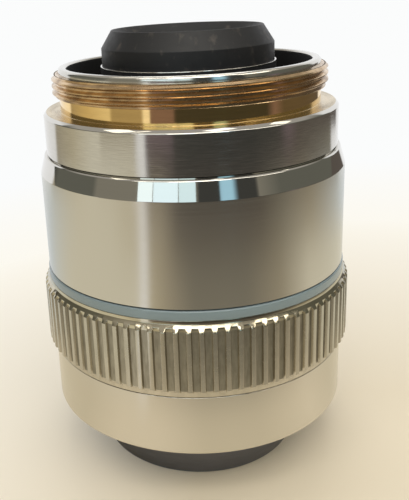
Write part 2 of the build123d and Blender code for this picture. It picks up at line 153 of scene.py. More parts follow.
def turned_metal(
    name,
    colour,
    roughness,
    anisotropy,
    across_mm,
    around_mm,
    marks,
    spread,
    soil=0.0,
    soil_mm=(1, 1),
    soil_colour=NICKEL_SOIL,
):
    """Bare metal with fine turning marks. The highlight is drawn out across the marks. Marks is how
    strongly they show, and spread how far the tone strays. Soil is the share of a dark film that
    handling has left, in blotches that are so high and so wide in mm."""
    material, tree, shader = blank_finish(
        name, {"Metallic": 1.0, "Anisotropic": anisotropy, "Anisotropic Rotation": 0.25}
    )
    place = add(tree, "TexCoord").outputs["Object"]
    around = add(
        tree, "VectorMath", {"operation": "CROSS_PRODUCT"}, {0: (0, 0, 1), 1: place}
    ).outputs[0]
    tangent = add(
        tree,
        "VectorTransform",
        {"vector_type": "VECTOR", "convert_from": "OBJECT", "convert_to": "WORLD"},
        {0: around},
    ).outputs[0]
    tree.links.new(tangent, shader.inputs["Tangent"])
    rings = turning_coordinates(tree, across_mm, around_mm)
    noise = add(tree, "TexNoise", sockets={"Vector": rings, "Scale": 1.0, "Detail": 3.0}).outputs[0]
    noise_range = {"Value": noise, 1: NOISE_LOW, 2: NOISE_HIGH}
    tint = add(
        tree, "MapRange", sockets={**noise_range, 3: 1 - spread, 4: 1 + spread}
    ).outputs[0]
    base = add(
        tree, "VectorMath", {"operation": "SCALE"}, {0: linear(colour)[:3], "Scale": tint}
    ).outputs[0]
    rough = add(
        tree,
        "MapRange",
        sockets={**noise_range, 3: roughness * (1 - SWING), 4: roughness * (1 + SWING)},
    ).outputs[0]
    if soil:
        wiped = turning_coordinates(tree, *soil_mm)
        blotches = add(
            tree, "TexNoise", sockets={"Vector": wiped, "Scale": 1.0, "Detail": 4.0}
        ).outputs[0]
        film = add(
            tree,
            "MapRange",
            sockets={"Value": blotches, 1: FILM_LOW, 2: FILM_HIGH, 3: 0.0, 4: soil},
        ).outputs[0]
        base = add(
            tree, "Mix", OF_COLOURS, {"Factor": film, 6: base, 7: linear(soil_colour)}
        ).outputs[2]
        rough = add(
            tree, "Math", {"operation": "MULTIPLY_ADD"}, {0: film, 1: FILM_ROUGHNESS, 2: rough}
        ).outputs[0]
    tree.links.new(base, shader.inputs["Base Color"])
    tree.links.new(rough, shader.inputs["Roughness"])
    bump = add(
        tree, "Bump", sockets={"Strength": marks, "Distance": MARK_DEPTH * MM, "Height": noise}
    ).outputs[0]
    tree.links.new(bump, shader.inputs["Normal"])
    return material


# Nickel plate over fine turned brass: a soft, slightly warm grey with a quiet drawn-out gleam
satin_nickel = turned_metal(
    "satin_nickel_plate", "#d4cec1", roughness=0.2, anisotropy=0.5,
    across_mm=0.1, around_mm=14.0, marks=0.03, spread=0.012,
)
# The same plate on the ribs, which hands have rubbed: a little darker and mottled
rib_nickel = turned_metal(
    "handled_nickel_plate", "#c9c2b2", roughness=0.22, anisotropy=0.4,
    across_mm=0.4, around_mm=3.0, marks=0.02, spread=0.02, soil=0.12, soil_mm=(2.5, 0.8),
)
# The plate in the rolled grooves, where polish never reaches: greyer, with dirt settled in it
groove_nickel = turned_metal(
    "soiled_nickel_plate", "#aca594", roughness=0.34, anisotropy=0.2,
    across_mm=0.2, around_mm=0.5, marks=0.05, spread=0.04, soil=0.28, soil_mm=(1.6, 0.3),
)
# Plate worn thin on the edge above the ribs, so that brass shows through: bright and golden
worn_nickel = turned_metal(
    "worn_nickel_plate", "#d5ccb4", roughness=0.08, anisotropy=0.3,
    across_mm=0.3, around_mm=6.0, marks=0.04, spread=0.03, soil=0.25, soil_mm=(0.5, 3.0),
)
# Nickel plate on the nose, its colour darkened and tinted blue-grey as painted shade for the shadow
# under the lower barrel
nose_nickel_with_painted_shade = turned_metal(
    "nickel_plate_with_painted_shade", "#757780", roughness=0.35, anisotropy=0.3,
    across_mm=0.2, around_mm=8.0, marks=0.1, spread=0.04, soil=0.12, soil_mm=(0.8, 2.4),
)
# Nickel plate turned with a fine feed and left as cut: faint level lines and short scratches
collar_nickel = turned_metal(
    "fine_turned_nickel_plate", "#cecac1", roughness=0.13, anisotropy=0.6,
    across_mm=0.09, around_mm=1.6, marks=0.16, spread=0.07,
)
# Nickel plate polished on a mop: a clear mirror of the room
bright_nickel = turned_metal(
    "polished_nickel_plate", "#d8d5ce", roughness=0.05, anisotropy=0.2,
    across_mm=0.4, around_mm=20.0, marks=0.02, spread=0.01,
)
# The plate on the rim, buffed by hand: bright, with the room's shapes softened
buffed_nickel = turned_metal(
    "buffed_nickel_plate", "#d6d3cb", roughness=0.13, anisotropy=0.3,
    across_mm=0.15, around_mm=4.0, marks=0.08, spread=0.04,
)
# Turned brass under clear lacquer: pale gold with crisp reflections
lacquered_brass = turned_metal(
    "lacquered_turned_brass", "#f6d28e", roughness=0.07, anisotropy=0.4,
    across_mm=0.2, around_mm=9.0, marks=0.05, spread=0.03, soil=0.1, soil_mm=(0.5, 3.0),
)
# The shoulder's bare brass, darkened in brown blotches as painted shade at the foot of the neck
shoulder_brass_with_painted_shade = turned_metal(
    "shoulder_brass_with_painted_shade", "#d8c49c", roughness=0.2, anisotropy=0.3,
    across_mm=0.2, around_mm=5.0, marks=0.1, spread=0.05, soil=0.35, soil_mm=(1.2, 5.0),
)
# Brass as the threading tool left it, under a reddish brown tarnish: gold crests, browner blotches
thread_brass = turned_metal(
    "chased_thread_brass", "#dfc094", roughness=0.14, anisotropy=0.3,
    across_mm=0.25, around_mm=2.5, marks=0.08, spread=0.04,
    soil=0.58, soil_mm=(0.35, 2.2), soil_colour="#5a3622",
)
# Plain turned brass of the inner cells: dull gold
inner_brass = turned_metal(
    "turned_brass", "#c8a565", roughness=0.3, anisotropy=0.5,
    across_mm=0.2, around_mm=8.0, marks=0.3, spread=0.06,
)
# Ground steel of the drive pins: cool, even grey
ground_steel = turned_metal(
    "ground_steel", "#b9b9b8", roughness=0.25, anisotropy=0.3,
    across_mm=0.2, around_mm=4.0, marks=0.2, spread=0.05,
)
# Rolled bronze of the thin washers: brownish, a little dull
rolled_bronze = turned_metal(
    "rolled_bronze", "#b08a58", roughness=0.3, anisotropy=0.2,
    across_mm=0.3, around_mm=10.0, marks=0.2, spread=0.05,
)

# Rubs on a black skin: the noise values between which they come in, their height and width in mm,
# and their tone. The step is how far the skin's roughness strays.
RUB_LOW, RUB_HIGH = 0.6, 0.76
RUB_MM = (1.6, 1.2)
RUB_TONE = "#82766a"
ROUGHNESS_STEP = 0.06


def black_finish(name, colour, roughness, grain_mm, rubs):
    """A matt black skin with faint grain. Rubs is the share of a pale brown film in its streaks."""
    material, tree, shader = blank_finish(name, {"Metallic": 0.0, "IOR": 1.45})
    place = add(tree, "TexCoord").outputs["Object"]
    grain = add(
        tree, "TexNoise", sockets={"Vector": place, "Scale": 1 / (grain_mm * MM), "Detail": 4.0}
    ).outputs[0]
    grain_range = {"Value": grain, 1: NOISE_LOW, 2: NOISE_HIGH}
    tint = add(tree, "MapRange", sockets={**grain_range, 3: 1 - SWING, 4: 1 + SWING}).outputs[0]
    base = add(
        tree, "VectorMath", {"operation": "SCALE"}, {0: linear(colour)[:3], "Scale": tint}
    ).outputs[0]
    streaks = add(
        tree,
        "TexNoise",
        sockets={"Vector": turning_coordinates(tree, *RUB_MM), "Scale": 1.0, "Detail": 5.0},
    ).outputs[0]
    film = add(
        tree, "MapRange", sockets={"Value": streaks, 1: RUB_LOW, 2: RUB_HIGH, 3: 0.0, 4: rubs}
    ).outputs[0]
    base = add(
        tree, "Mix", OF_COLOURS, {"Factor": film, 6: base, 7: linear(RUB_TONE)}
    ).outputs[2]
    tree.links.new(base, shader.inputs["Base Color"])
    rough = add(
        tree,
        "MapRange",
        sockets={**grain_range, 3: roughness - ROUGHNESS_STEP, 4: roughness + ROUGHNESS_STEP},
    ).outputs[0]
    tree.links.new(rough, shader.inputs["Roughness"])
    return material


# Black anodised aluminium: charcoal that stays dark at every angle, with a dim, soft gleam and
# faint rubs where fingers have touched it
black_anodised = black_finish(
    "black_anodised_aluminium", "#1e1e20", roughness=0.5, grain_mm=0.6, rubs=0.25
)
# Blackened brass inside the light channel: nearly no light comes back out
blackened_bore = black_finish(
    "blackened_brass_bore", "#161616", roughness=0.7, grain_mm=0.4, rubs=0.0
)


def plain_finish(name, colour, sockets):
    """A finish of one even colour."""
    material, _, shader = blank_finish(name, sockets)
    shader.inputs["Base Color"].default_value = linear(colour)
    return material


# Baked enamel in the band's step: a flat grey-blue under a thin glassy skin
band_enamel = plain_finish(
    "grey_blue_enamel",
    "#809096",
    {"Roughness": 0.3, "IOR": 1.5, "Coat Weight": 0.5, "Coat Roughness": 0.1},
)
# Coated optical glass: clear, with a faint cool cast
coated_glass = plain_finish(
    "coated_optical_glass", "#eef2f4", {"Roughness": 0.0, "IOR": 1.6, "Transmission Weight": 1.0}
)


def piece_from(mesh, name, body, finishes, replaced=()):
    """Makes a finished piece of a bmesh: smooth shaded, sharp edges kept and normals evened."""
    for face in mesh.faces:
        face.smooth = True
    for edge in mesh.edges:
        edge.smooth = edge.calc_face_angle(0.0) < SHARP_ANGLE
    data = bpy.data.meshes.new(name)
    mesh.to_mesh(data)
    mesh.free()
    for finish in finishes:
        data.materials.append(finish)
    piece = bpy.data.objects.new(name, data)
    bpy.context.scene.collection.objects.link(piece)
    evened = piece.modifiers.new("evened_normals", "WEIGHTED_NORMAL")
    evened.keep_sharp = True
    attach(piece, body)
    if replaced:
        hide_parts(*replaced)


def outline_wire(mesh, outline):
    """A closed outline in the XZ plane. Its corners are (radius, height, rounding) in mm."""
    corners = [mesh.verts.new((radius * MM, 0, height * MM)) for radius, height, _ in outline]
    for start, end in zip(corners, corners[1:] + corners[:1]):
        mesh.edges.new((start, end))
    for rounding in sorted({corner[2] for corner in outline} - {0}):
        bmesh.ops.bevel(
            mesh,
            geom=[vert for vert, corner in zip(corners, outline) if corner[2] == rounding],
            offset=rounding * MM,
            offset_type="OFFSET",
            segments=3,
            profile=0.5,
            affect="VERTICES",
            material=-1,
            clamp_overlap=True,
        )


def spin(mesh, geom, angle, steps, **options):
    """Spins geometry about the optical axis."""
    return bmesh.ops.spin(
        mesh, geom=geom, cent=(0, 0, 0), axis=(0, 0, 1), angle=angle, steps=steps, **options
    )


def turned(name, outline, body, finishes, replaced=(), choose=None):
    """A turned piece: an outline spun round the axis, with a finish chosen by radius and height."""
    mesh = bmesh.new()
    outline_wire(mesh, outline)
    spin(mesh, mesh.verts[:] + mesh.edges[:], 2 * pi, TURNING_STEPS, use_merge=True)
    bmesh.ops.recalc_face_normals(mesh, faces=mesh.faces)
    if choose:
        for face in mesh.faces:
            middle = face.calc_center_median() / MM
            chosen = choose(hypot(middle.x, middle.y), middle.z)
            face.material_index = finishes.index(chosen)
    piece_from(mesh, name, body, finishes, replaced)


def mount_finish(radius, height):
    """The mount barrel's finish: nickel outside and on its rim, bare brass on neck, shoulder and
    thread, and black in its bore. The margins take in the faces of the rounded edges."""
    if height > RIM_Z and radius > CHANNEL_R + 0.05:
        return buffed_nickel
    if radius < SPIDER_BORE_R + 0.05:
        return blackened_bore
    if height > THREAD_Z:
        return thread_brass
    if height > SHOULDER_Z + 0.02:
        return lacquered_brass
    # The shoulder's face, whose brass carries painted shade
    if height > SHOULDER_Z - 0.01:
        return shoulder_brass_with_painted_shade
    if radius > COLLAR_R - 0.01:
        return collar_nickel
    return bright_nickel


# The mount barrel, in one piece from its joint with the lower barrel up to its rim
COLLAR_FOOT_CHAMFER = 0.12
COLLAR_CHAMFER = 0.35
RIM_ROUNDING = 0.33
turned(
    "mount_body",
    [
        (SPIDER_BORE_R, BARREL_END_Z, 0),
        (JOINT_R, BARREL_END_Z, 0),
        (JOINT_R, RING_Z - RING_GAP, 0),
        (JOURNAL_R, RING_Z - RING_GAP, 0),
        (JOURNAL_R, SLEEVE_Z, 0),
        (SLEEVE_SEAT_R, SLEEVE_Z, 0),
        (SLEEVE_SEAT_R, SEAM_Z, 0),
        (SEAM_SEAT_R, SEAM_Z, 0),
        (SEAM_SEAT_R, COLLAR_Z, 0),
        (COLLAR_R - COLLAR_FOOT_CHAMFER, COLLAR_Z, 0),
        (COLLAR_R, COLLAR_Z + COLLAR_FOOT_CHAMFER, 0),
        (COLLAR_R, SHOULDER_Z - COLLAR_CHAMFER, EDGE_BREAK),
        (COLLAR_R - COLLAR_CHAMFER, SHOULDER_Z, FINE_BREAK),
        (NECK_R, SHOULDER_Z, EDGE_BREAK),
        (NECK_R, THREAD_Z, 0),
        (THREAD_ROOT_R, THREAD_Z, 0),
        (THREAD_ROOT_R, RIM_Z, 0),
        (RIM_R, RIM_Z, 0),
        (RIM_R, RIM_TOP_Z, RIM_ROUNDING),
        (CHANNEL_R, RIM_TOP_Z, RIM_ROUNDING),
        (CHANNEL_R, CHANNEL_FLOOR_Z, 0),
        (SPIDER_BORE_R, CHANNEL_FLOOR_Z, 0),
    ],
    "barrel",
    [
        bright_nickel,
        collar_nickel,
        lacquered_brass,
        thread_brass,
        blackened_bore,
        shoulder_brass_with_painted_shade,
        buffed_nickel,
    ],
    ["mount_barrel"],
    mount_finish,
)

# The thread: a ridge wound round its root, cut off at both ends and chamfered there
THREAD_PITCH = 0.75
THREAD_STEPS = 192
RIDGE_FOOT = 0.36
RIDGE_CREST = 0.06
RIDGE_SINK = 0.1
THREAD_CHAMFER = 0.3
thread = bmesh.new()
start_z = THREAD_Z - THREAD_PITCH
ridge = [
    thread.verts.new((radius * MM, 0, height * MM))
    for radius, height in (
        (THREAD_ROOT_R - RIDGE_SINK, start_z - RIDGE_FOOT),
        (THREAD_R, start_z - RIDGE_CREST),
        (THREAD_R, start_z + RIDGE_CREST),
        (THREAD_ROOT_R - RIDGE_SINK, start_z + RIDGE_FOOT),
    )
]
ridge += [thread.edges.new(pair) for pair in zip(ridge, ridge[1:] + ridge[:1])]
turns = int((RIM_Z - THREAD_Z) / THREAD_PITCH) + 3
spin(
    thread,
    ridge,
    turns * 2 * pi,
    turns * THREAD_STEPS,
    dvec=(0, 0, THREAD_PITCH * MM / THREAD_STEPS),
)
bmesh.ops.recalc_face_normals(thread, faces=thread.faces)
for level, direction in ((THREAD_Z, -1), (RIM_Z, 1)):
    cut = bmesh.ops.bisect_plane(
        thread,
        geom=thread.verts[:] + thread.edges[:] + thread.faces[:],
        plane_co=(0, 0, level * MM),
        plane_no=(0, 0, direction),
        clear_outer=True,
    )
    bmesh.ops.holes_fill(
        thread, edges=[e for e in cut["geom_cut"] if isinstance(e, bmesh.types.BMEdge)]
    )
for vert in thread.verts:
    radius, height = hypot(vert.co.x, vert.co.y) / MM, vert.co.z / MM
    end = min(height - THREAD_Z, RIM_Z - height)
    allowed = THREAD_R - max(0.0, THREAD_CHAMFER - end)
    if radius > allowed:
        vert.co.xy *= allowed / radius
piece_from(thread, "mount_thread", "barrel", [thread_brass])

# The main sleeve, with its polished bevel
SLEEVE_CHAMFER = 0.08
BEVEL_DEPTH = 0.55
SEAM_CHAMFER = 0.12
turned(
    "main_sleeve",
    [
        (SLEEVE_SEAT_R + FIT, SLEEVE_Z, 0),
        (SLEEVE_R - SLEEVE_CHAMFER, SLEEVE_Z, 0),
        (SLEEVE_R, SLEEVE_Z + SLEEVE_CHAMFER, 0),
        (SLEEVE_R, BEVEL_Z, FINE_BREAK),
        (SLEEVE_R - BEVEL_DEPTH, SEAM_Z - SEAM_CHAMFER, FINE_BREAK),
        (SLEEVE_R - BEVEL_DEPTH - SEAM_CHAMFER, SEAM_Z, 0),
        (SLEEVE_SEAT_R + FIT, SEAM_Z, 0),
    ],
    "barrel",
    [satin_nickel, bright_nickel],
    ["outer_sleeve"],
    lambda radius, height: bright_nickel if height > BEVEL_Z - 0.02 else satin_nickel,
)

# The knurled ring: one rib is spun from the outline and repeated all round
RIB_COUNT = 86
RIB_PITCH = 2 * pi / RIB_COUNT
LAND_SHARE, FLANK_SHARE, ROOT_SHARE = 0.36, 0.07, 0.5
KNURL_R = 18.65
KNURL_ROOT_R = 18.35
RING_FOOT_Z = 14.57
KNURL_LOW_ROOT_Z = 14.77
KNURL_LOW_Z = 14.92
KNURL_TOP_Z = 21.79
KNURL_TOP_ROOT_Z = 22.199
LIP_Z = 22.54
RING_RIM_R = 17.95
LIP_R = 18.1
RING_BORE_R = 15.85
BAND_SEAT_R = 17.75
BAND_Z = 22.93
BAND_R = 18.05
knurl_outline = [
    (RING_BORE_R, RING_Z),
    (RING_RIM_R, RING_Z),
    (RING_RIM_R, RING_FOOT_Z),
    (KNURL_ROOT_R, KNURL_LOW_ROOT_Z),
    (KNURL_R, KNURL_LOW_Z),
    (KNURL_R, KNURL_TOP_Z),
    (KNURL_ROOT_R, KNURL_TOP_ROOT_Z),
    (LIP_R, LIP_Z),
    (LIP_R, BAND_Z),
    (BAND_SEAT_R, BAND_Z),
    (BAND_SEAT_R, RING_TOP_Z),
    (RING_BORE_R, RING_TOP_Z),
]
knurl = bmesh.new()
outline_wire(knurl, [(*corner, 0) for corner in knurl_outline])
wire = knurl.verts[:] + knurl.edges[:]
columns = []
for share in (LAND_SHARE / 2, FLANK_SHARE, ROOT_SHARE, FLANK_SHARE, LAND_SHARE / 2):
    wire = spin(knurl, wire, share * RIB_PITCH, 1)["geom_last"]
    columns.append([item for item in wire if isinstance(item, bmesh.types.BMVert)])
for column in columns[1:3]:
    for vert in column:
        radius = vert.co.xy.length / MM
        if radius > KNURL_ROOT_R:
            vert.co.xy *= KNURL_ROOT_R / radius


def vert_at(column, height, reach):
    """The vertex of a column nearest to a height and then to a radius."""
    return min(
        column, key=lambda v: abs(v.co.z / MM - height) * 100 + abs(v.co.xy.length / MM - reach)
    )


for land, root in ((columns[0], columns[1]), (columns[3], columns[2])):
    for crest_z, foot_z in (
        (KNURL_LOW_Z, KNURL_LOW_ROOT_Z),
        (KNURL_TOP_Z, KNURL_TOP_ROOT_Z),
    ):
        bmesh.ops.connect_vert_pair(
            knurl,
            verts=[vert_at(land, crest_z, KNURL_R), vert_at(root, foot_z, KNURL_ROOT_R)],
        )
spin(
    knurl,
    knurl.verts[:] + knurl.edges[:] + knurl.faces[:],
    2 * pi - RIB_PITCH,
    RIB_COUNT - 1,
    use_duplicate=True,
)
bmesh.ops.remove_doubles(knurl, verts=knurl.verts, dist=MERGE_DISTANCE * MM)
bmesh.ops.recalc_face_normals(knurl, faces=knurl.faces)
bmesh.ops.bevel(
    knurl,
    geom=[e for e in knurl.edges if e.calc_face_angle(0.0) > BROKEN_ANGLE],
    offset=FINE_BREAK * MM,
    offset_type="OFFSET",
    segments=2,
    profile=0.5,
    affect="EDGES",
    material=-1,
    clamp_overlap=True,
)
knurl_finishes = [rib_nickel, groove_nickel, worn_nickel]
for face in knurl.faces:
    middle = face.calc_center_median() / MM
    radius = hypot(middle.x, middle.y)
    if abs(radius - KNURL_ROOT_R) < 0.03 and KNURL_LOW_Z < middle.z < KNURL_TOP_Z:
        face.material_index = knurl_finishes.index(groove_nickel)
    elif middle.z > KNURL_TOP_Z and radius > RING_RIM_R:
        face.material_index = knurl_finishes.index(worn_nickel)
piece_from(knurl, "knurled_ring", "ring", knurl_finishes, ["correction_ring"])

turned(
    "enamel_band",
    [
        (BAND_SEAT_R, BAND_Z, 0),
        (BAND_R, BAND_Z, FINE_BREAK),
        (BAND_R, RING_TOP_Z - EDGE_CHAMFER, FINE_BREAK),
        (BAND_R - EDGE_CHAMFER, RING_TOP_Z, FINE_BREAK),
        (BAND_SEAT_R, RING_TOP_Z, 0),
    ],
    "ring",
    [band_enamel],
    ["colour_band"],
)

# The lower barrel and the nose, whose spigot sits in it
turned(
    "plain_barrel",
    [
        (NOSE_SPIGOT_R + FIT, LOWER_BARREL_Z, 0),
        (LOWER_BARREL_R - EDGE_CHAMFER, LOWER_BARREL_Z, FINE_BREAK),
        (LOWER_BARREL_R, LOWER_BARREL_Z + EDGE_CHAMFER, FINE_BREAK),
        (LOWER_BARREL_R, RING_Z - RING_GAP, EDGE_BREAK),
        (JOINT_R + FIT, RING_Z - RING_GAP, 0),
        (JOINT_R + FIT, BARREL_END_Z, 0),
        (NOSE_SPIGOT_R + FIT, BARREL_END_Z, 0),
    ],
    "barrel",
    [satin_nickel],
    ["lower_barrel"],
)
FOOT_BORE_R = 9.0
FOOT_R = 12.1
FOOT_CHAMFER = 0.3
FOOT_THICKNESS = 0.8
NOSE_TOP_R = 14.2
NOSE_BORE_R = 9.63
NOSE_BORE_Z = 3.6
NOSE_BORE_TOP_R = 12.45
# The nose's finish carries painted shade
turned(
    "nose",
    [
        (FOOT_BORE_R, 0, EDGE_BREAK),
        (FOOT_R - FOOT_CHAMFER, 0, EDGE_BREAK),
        (FOOT_R, FOOT_CHAMFER, EDGE_BREAK),
        (NOSE_TOP_R, LOWER_BARREL_Z, 0),
        (NOSE_SPIGOT_R, LOWER_BARREL_Z, 0),
        (NOSE_SPIGOT_R, BARREL_END_Z, 0),
        (NOSE_BORE_TOP_R, BARREL_END_Z, 0),
        (NOSE_BORE_R, NOSE_BORE_Z, 0),
        (NOSE_BORE_R, FOOT_THICKNESS, 0),
        (FOOT_BORE_R, FOOT_THICKNESS, 0),
    ],
    "barrel",
    [nose_nickel_with_painted_shade],
    ["nose_ring"],
)

# The black baffle on the lens tube, and the tube's bare top edge, which shows as a bright line
TUBE_TOP_Z = 47.22
BAFFLE_SPIGOT_Z = 45.22
BAFFLE_CONE_Z = 49.22
BAFFLE_MOUTH_Z = 49.57
BAFFLE_TOP_Z = 51.17
BAFFLE_R = 9.92
BAFFLE_TIP_R = 8.69
BAFFLE_MOUTH_R = 8.55
BAFFLE_SPIGOT_R = 8.57
BAFFLE_BORE_R = 7.2
TUBE_EDGE_R = 9.96
TUBE_EDGE_PROUD = 0.01
TUBE_EDGE_FOOT = 0.3
TUBE_EDGE_WALL = 0.12
turned(
    "black_baffle",
    [
        (BAFFLE_BORE_R, BAFFLE_SPIGOT_Z, 0),
        (BAFFLE_SPIGOT_R, BAFFLE_SPIGOT_Z, 0),
        (BAFFLE_SPIGOT_R, TUBE_TOP_Z, 0),
        (BAFFLE_R, TUBE_TOP_Z, 0),
        (BAFFLE_R, BAFFLE_CONE_Z, EDGE_BREAK),
        (BAFFLE_TIP_R, BAFFLE_TOP_Z, FINE_BREAK),
        (BAFFLE_MOUTH_R, BAFFLE_TOP_Z, FINE_BREAK),
        (BAFFLE_BORE_R, BAFFLE_MOUTH_Z, 0),
    ],
    "barrel",
    [black_anodised],
    ["rear_baffle"],
)
turned(
    "bare_tube_edge",
    [
        (TUBE_EDGE_R, TUBE_TOP_Z - TUBE_EDGE_FOOT, 0),
        (LENS_TUBE_R + TUBE_EDGE_PROUD, TUBE_TOP_Z - TUBE_EDGE_WALL, 0),
        (LENS_TUBE_R + TUBE_EDGE_PROUD, TUBE_TOP_Z + TUBE_EDGE_PROUD, FINE_BREAK),
        (TUBE_EDGE_R, TUBE_TOP_Z + TUBE_EDGE_PROUD, 0),
    ],
    "barrel",
    [bright_nickel],
)

# The rear lens, which shows down the baffle: a turned disc of glass with two domed faces
REAR_LENS_R = 6.2
REAR_LENS_EDGE_Z = 41.83
REAR_LENS_EDGE = 0.8
REAR_LENS_SAG = 0.6
DOME_R = (REAR_LENS_R**2 + REAR_LENS_SAG**2) / (2 * REAR_LENS_SAG)
DOME_STEPS = 16
rear_glass = bmesh.new()
for tip_z, up in (
    (REAR_LENS_EDGE_Z - REAR_LENS_SAG, 1),
    (REAR_LENS_EDGE_Z + REAR_LENS_EDGE + REAR_LENS_SAG, -1),
):
    bmesh.ops.spin(
        rear_glass,
        geom=[rear_glass.verts.new((0, 0, tip_z * MM))],
        cent=(0, 0, (tip_z + up * DOME_R) * MM),
        axis=(0, 1, 0),
        angle=-up * asin(REAR_LENS_R / DOME_R),
        steps=DOME_STEPS,
    )
rear_glass.edges.new([v for v in rear_glass.verts if abs(v.co.x) > (REAR_LENS_R - 0.01) * MM])
spin(
    rear_glass,
    rear_glass.verts[:] + rear_glass.edges[:],
    2 * pi,
    TURNING_STEPS // 2,
    use_merge=True,
)
bmesh.ops.remove_doubles(rear_glass, verts=rear_glass.verts, dist=MERGE_DISTANCE * MM)
bmesh.ops.recalc_face_normals(rear_glass, faces=rear_glass.faces)
piece_from(rear_glass, "rear_glass", "barrel", [coated_glass], ["rear_crown"])

# The inner pieces keep the shapes that the source gives them
slot_finishes = {
    "nickel_satin": satin_nickel,
    "nickel_bright": bright_nickel,
    "mount_brass": lacquered_brass,
    "inner_brass": inner_brass,
    "band_enamel": band_enamel,
    "black_anodised": black_anodised,
    "optical_glass": coated_glass,
    "pin_steel": ground_steel,
    "shim_bronze": rolled_bronze,
}
for subpart in frame["record"]["subparts"]:
    data = frame["nodes"][subpart["node"]].data
    data.materials.clear()
    data.materials.append(slot_finishes[subpart["material_slot"]])

# What the metal mirrors: a room with daylight behind the object and at its left, and shade on the
# camera's side. Each list goes round it by azimuth in degrees, negative to the left of the camera.
# The first five are rings of the table from near to far, which glow with these tones for reflected
# rays only: painted reflections of the room, whose dark tones are painted shade and shadow. The
# last is the walls.
DAYLIGHT = "#fcfdff"
COOL_WALL = "#d6dee2"
PALE_WALL = "#e4e0cf"
WARM_WALL = "#c9c0a6"
BUFF_WALL = "#aca491"
DRAB_WALL = "#8a867a"
DIM_WALL = "#6a6a61"
SHADE = "#625b55"
DEEP_SHADE = "#444441"
ROSE_SHADE = "#83727a"
SKY = "#b4e4fb"
TABLE_CREAM = "#f4e8d0"
TABLE_SHADED = "#e2d7be"
# The table close round the object, as reflections see it: cream, with painted shade in the shaded
# stretches
beside_tones = [
    (-180, TABLE_CREAM),
    (-105, TABLE_SHADED),
    (-75, TABLE_SHADED),
    (-48, TABLE_CREAM),
    (-25, TABLE_CREAM),
    (0, TABLE_SHADED),
    (30, TABLE_SHADED),
    (65, TABLE_CREAM),
    (90, TABLE_SHADED),
    (130, TABLE_SHADED),
    (180, TABLE_CREAM),
]
low_tones = [
    (-180, DAYLIGHT),
    (-135, COOL_WALL),
    (-100, PALE_WALL),
    (-41, PALE_WALL),
    (-39, DAYLIGHT),
    (-35, DAYLIGHT),
    (-33, WARM_WALL),
    (-20, BUFF_WALL),
    (-5, DRAB_WALL),
    (30, DRAB_WALL),
    (55, BUFF_WALL),
    (80, PALE_WALL),
    (130, PALE_WALL),
    (180, DAYLIGHT),
]
middle_tones = [
    (-180, DAYLIGHT),
    (-131, COOL_WALL),
    (-90, PALE_WALL),
    (-60, PALE_WALL),
    (-41, WARM_WALL),
    (-39, DAYLIGHT),
    (-35, DAYLIGHT),
    (-33, BUFF_WALL),
    (-25, BUFF_WALL),
    (-14, SHADE),
    (42, SHADE),
    (60, DRAB_WALL),
    (85, BUFF_WALL),
    (130, COOL_WALL),
    (180, DAYLIGHT),
]
far_tones = [
    (-180, DAYLIGHT),
    (-127, DAYLIGHT),
    (-124, BUFF_WALL),
    (-100, WARM_WALL),
    (-80, PALE_WALL),
    (-44, PALE_WALL),
    (-42.5, DAYLIGHT),
    (-36.5, DAYLIGHT),
    (-35, SHADE),
    (-5, DEEP_SHADE),
    (40, DEEP_SHADE),
    (75, SHADE),
    (124, DRAB_WALL),
    (127, DAYLIGHT),
    (180, DAYLIGHT),
]
farthest_tones = [
    (-180, DAYLIGHT),
    (-127, DAYLIGHT),
    (-124, BUFF_WALL),
    (-100, WARM_WALL),
    (-73, PALE_WALL),
    (-71, BUFF_WALL),
    (-43, BUFF_WALL),
    (-41, DAYLIGHT),
    (-36.5, DAYLIGHT),
    (-35.5, ROSE_SHADE),
    (-17, ROSE_SHADE),
    (-15, DEEP_SHADE),
    (62, DEEP_SHADE),
    (70, ROSE_SHADE),
    (80, SHADE),
    (138, SHADE),
    (141, DAYLIGHT),
    (180, DAYLIGHT),
]
wall_tones = [
    (-180, DAYLIGHT),
    (-131, DAYLIGHT),
    (-129, DEEP_SHADE),
    (-120, DIM_WALL),
    (-80, DIM_WALL),
    (-76, DRAB_WALL),
    (-1, DRAB_WALL),
    (1, DEEP_SHADE),
    (16, DEEP_SHADE),
    (17, SKY),
    (25, SKY),
    (29, DEEP_SHADE),
    (43, DEEP_SHADE),
    (45, DRAB_WALL),
    (62, DIM_WALL),
    (123, DIM_WALL),
    (127, DAYLIGHT),
    (180, DAYLIGHT),
]


def tone_by_azimuth(tree, place, tones):
    """The tone that lies in the direction of a place, read from a list of azimuths and tones."""
    axes = add(tree, "SeparateXYZ", sockets={0: place})
    forward = add(tree, "Math", {"operation": "MULTIPLY"}, {0: axes.outputs[1], 1: -1.0})
    azimuth = add(
        tree, "Math", {"operation": "ARCTAN2"}, {0: axes.outputs[0], 1: forward.outputs[0]}
    )
    share = add(tree, "MapRange", sockets={"Value": azimuth.outputs[0], 1: -pi, 2: pi})
    ramp = add(tree, "ValToRGB", sockets={"Fac": share.outputs[0]})
    while len(ramp.color_ramp.elements) < len(tones):
        ramp.color_ramp.elements.new(0.5)
    for stop, (angle, colour) in zip(ramp.color_ramp.elements, tones):
        stop.position = (angle + 180) / 360
        stop.color = linear(colour)
    return ramp.outputs[0]


